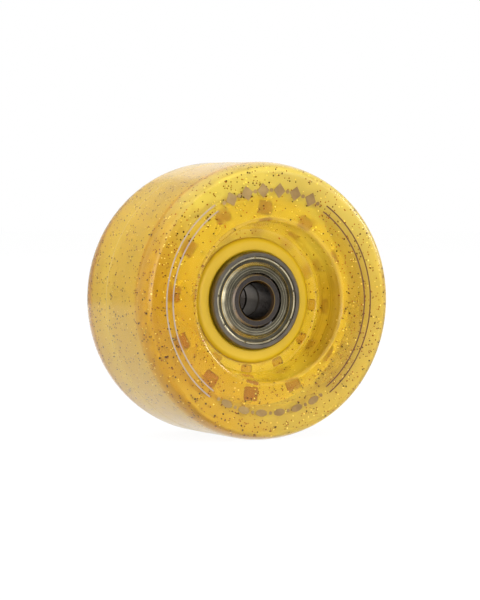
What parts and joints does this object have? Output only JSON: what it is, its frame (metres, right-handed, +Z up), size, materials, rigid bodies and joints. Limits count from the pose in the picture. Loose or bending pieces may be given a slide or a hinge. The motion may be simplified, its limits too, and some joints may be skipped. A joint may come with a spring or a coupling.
{
  "type": "roller skate wheel",
  "caption": "Roller skate wheel: a clear glitter urethane tyre cast on a moulded core, turning on shielded ball bearings held apart by a spacer on the axle.",
  "frame": {"origin": "wheel centre, on the axle axis at the middle of the width", "axes": "+Y along the axle, away from the front face; +Z up; +X to the right seen from the front"},
  "size_m": [0.062, 0.033, 0.062],
  "materials": {
    "tyre": "clear golden urethane with glitter, glossy",
    "core": "moulded yellow plastic",
    "ring_steel": "ground bearing steel",
    "shield_steel": "pressed steel with a warm tint",
    "cage_steel": "pressed strip steel",
    "ball_steel": "polished bearing steel",
    "spacer_steel": "turned steel"
  },
  "bodies": {
    "axle_stack": {"front_inner_ring": "ring_steel", "bearing_spacer": "spacer_steel", "rear_inner_ring": "ring_steel"},
    "wheel": {"tyre": "tyre", "core": "core", "front_outer_ring": "ring_steel", "front_outer_shield": "shield_steel", "front_inner_shield": "shield_steel", "rear_outer_ring": "ring_steel", "rear_outer_shield": "shield_steel", "rear_inner_shield": "shield_steel"},
    "front_cage": {"front_cage_outer": "cage_steel", "front_cage_inner": "cage_steel", "front_cage_rivets": "cage_steel"},
    "rear_cage": {"rear_cage_outer": "cage_steel", "rear_cage_inner": "cage_steel", "rear_cage_rivets": "cage_steel"},
    "front_ball_1": {"front_ball_1": "ball_steel"},
    "front_ball_2": {"front_ball_2": "ball_steel"},
    "front_ball_3": {"front_ball_3": "ball_steel"},
    "front_ball_4": {"front_ball_4": "ball_steel"},
    "front_ball_5": {"front_ball_5": "ball_steel"},
    "front_ball_6": {"front_ball_6": "ball_steel"},
    "front_ball_7": {"front_ball_7": "ball_steel"},
    "rear_ball_1": {"rear_ball_1": "ball_steel"},
    "rear_ball_2": {"rear_ball_2": "ball_steel"},
    "rear_ball_3": {"rear_ball_3": "ball_steel"},
    "rear_ball_4": {"rear_ball_4": "ball_steel"},
    "rear_ball_5": {"rear_ball_5": "ball_steel"},
    "rear_ball_6": {"rear_ball_6": "ball_steel"},
    "rear_ball_7": {"rear_ball_7": "ball_steel"}
  },
  "joints": [
    {"name": "wheel_spin", "type": "hinge", "parent": "axle_stack", "child": "wheel", "pos_m": [0, 0, 0], "axis": [0, 1, 0], "continuous": true},
    {"name": "front_cage_spin", "type": "hinge", "parent": "axle_stack", "child": "front_cage", "pos_m": [0, -0.0065, 0], "axis": [0, 1, 0], "continuous": true},
    {"name": "front_ball_1_spin", "type": "hinge", "parent": "front_cage", "child": "front_ball_1", "pos_m": [0.0075, -0.0065, 0], "axis": [0, 1, 0], "continuous": true},
    {"name": "front_ball_2_spin", "type": "hinge", "parent": "front_cage", "child": "front_ball_2", "pos_m": [0.00468, -0.0065, 0.00586], "axis": [0, 1, 0], "continuous": true},
    {"name": "front_ball_3_spin", "type": "hinge", "parent": "front_cage", "child": "front_ball_3", "pos_m": [-0.00167, -0.0065, 0.00731], "axis": [0, 1, 0], "continuous": true},
    {"name": "front_ball_4_spin", "type": "hinge", "parent": "front_cage", "child": "front_ball_4", "pos_m": [-0.00676, -0.0065, 0.00325], "axis": [0, 1, 0], "continuous": true},
    {"name": "front_ball_5_spin", "type": "hinge", "parent": "front_cage", "child": "front_ball_5", "pos_m": [-0.00676, -0.0065, -0.00325], "axis": [0, 1, 0], "continuous": true},
    {"name": "front_ball_6_spin", "type": "hinge", "parent": "front_cage", "child": "front_ball_6", "pos_m": [-0.00167, -0.0065, -0.00731], "axis": [0, 1, 0], "continuous": true},
    {"name": "front_ball_7_spin", "type": "hinge", "parent": "front_cage", "child": "front_ball_7", "pos_m": [0.00468, -0.0065, -0.00586], "axis": [0, 1, 0], "continuous": true},
    {"name": "rear_cage_spin", "type": "hinge", "parent": "axle_stack", "child": "rear_cage", "pos_m": [0, 0.0065, 0], "axis": [0, 1, 0], "continuous": true},
    {"name": "rear_ball_1_spin", "type": "hinge", "parent": "rear_cage", "child": "rear_ball_1", "pos_m": [-0.0075, 0.0065, 0], "axis": [0, 1, 0], "continuous": true},
    {"name": "rear_ball_2_spin", "type": "hinge", "parent": "rear_cage", "child": "rear_ball_2", "pos_m": [-0.00468, 0.0065, 0.00586], "axis": [0, 1, 0], "continuous": true},
    {"name": "rear_ball_3_spin", "type": "hinge", "parent": "rear_cage", "child": "rear_ball_3", "pos_m": [0.00167, 0.0065, 0.00731], "axis": [0, 1, 0], "continuous": true},
    {"name": "rear_ball_4_spin", "type": "hinge", "parent": "rear_cage", "child": "rear_ball_4", "pos_m": [0.00676, 0.0065, 0.00325], "axis": [0, 1, 0], "continuous": true},
    {"name": "rear_ball_5_spin", "type": "hinge", "parent": "rear_cage", "child": "rear_ball_5", "pos_m": [0.00676, 0.0065, -0.00325], "axis": [0, 1, 0], "continuous": true},
    {"name": "rear_ball_6_spin", "type": "hinge", "parent": "rear_cage", "child": "rear_ball_6", "pos_m": [0.00167, 0.0065, -0.00731], "axis": [0, 1, 0], "continuous": true},
    {"name": "rear_ball_7_spin", "type": "hinge", "parent": "rear_cage", "child": "rear_ball_7", "pos_m": [-0.00468, 0.0065, -0.00586], "axis": [0, 1, 0], "continuous": true}
  ],
  "couplings": [
    {"joint": "front_cage_spin", "follows": "wheel_spin", "ratio": 0.6323},
    {"joint": "front_ball_1_spin", "follows": "wheel_spin", "ratio": 1.7573},
    {"joint": "front_ball_2_spin", "follows": "wheel_spin", "ratio": 1.7573},
    {"joint": "front_ball_3_spin", "follows": "wheel_spin", "ratio": 1.7573},
    {"joint": "front_ball_4_spin", "follows": "wheel_spin", "ratio": 1.7573},
    {"joint": "front_ball_5_spin", "follows": "wheel_spin", "ratio": 1.7573},
    {"joint": "front_ball_6_spin", "follows": "wheel_spin", "ratio": 1.7573},
    {"joint": "front_ball_7_spin", "follows": "wheel_spin", "ratio": 1.7573},
    {"joint": "rear_cage_spin", "follows": "wheel_spin", "ratio": 0.6323},
    {"joint": "rear_ball_1_spin", "follows": "wheel_spin", "ratio": 1.7573},
    {"joint": "rear_ball_2_spin", "follows": "wheel_spin", "ratio": 1.7573},
    {"joint": "rear_ball_3_spin", "follows": "wheel_spin", "ratio": 1.7573},
    {"joint": "rear_ball_4_spin", "follows": "wheel_spin", "ratio": 1.7573},
    {"joint": "rear_ball_5_spin", "follows": "wheel_spin", "ratio": 1.7573},
    {"joint": "rear_ball_6_spin", "follows": "wheel_spin", "ratio": 1.7573},
    {"joint": "rear_ball_7_spin", "follows": "wheel_spin", "ratio": 1.7573}
  ]
}
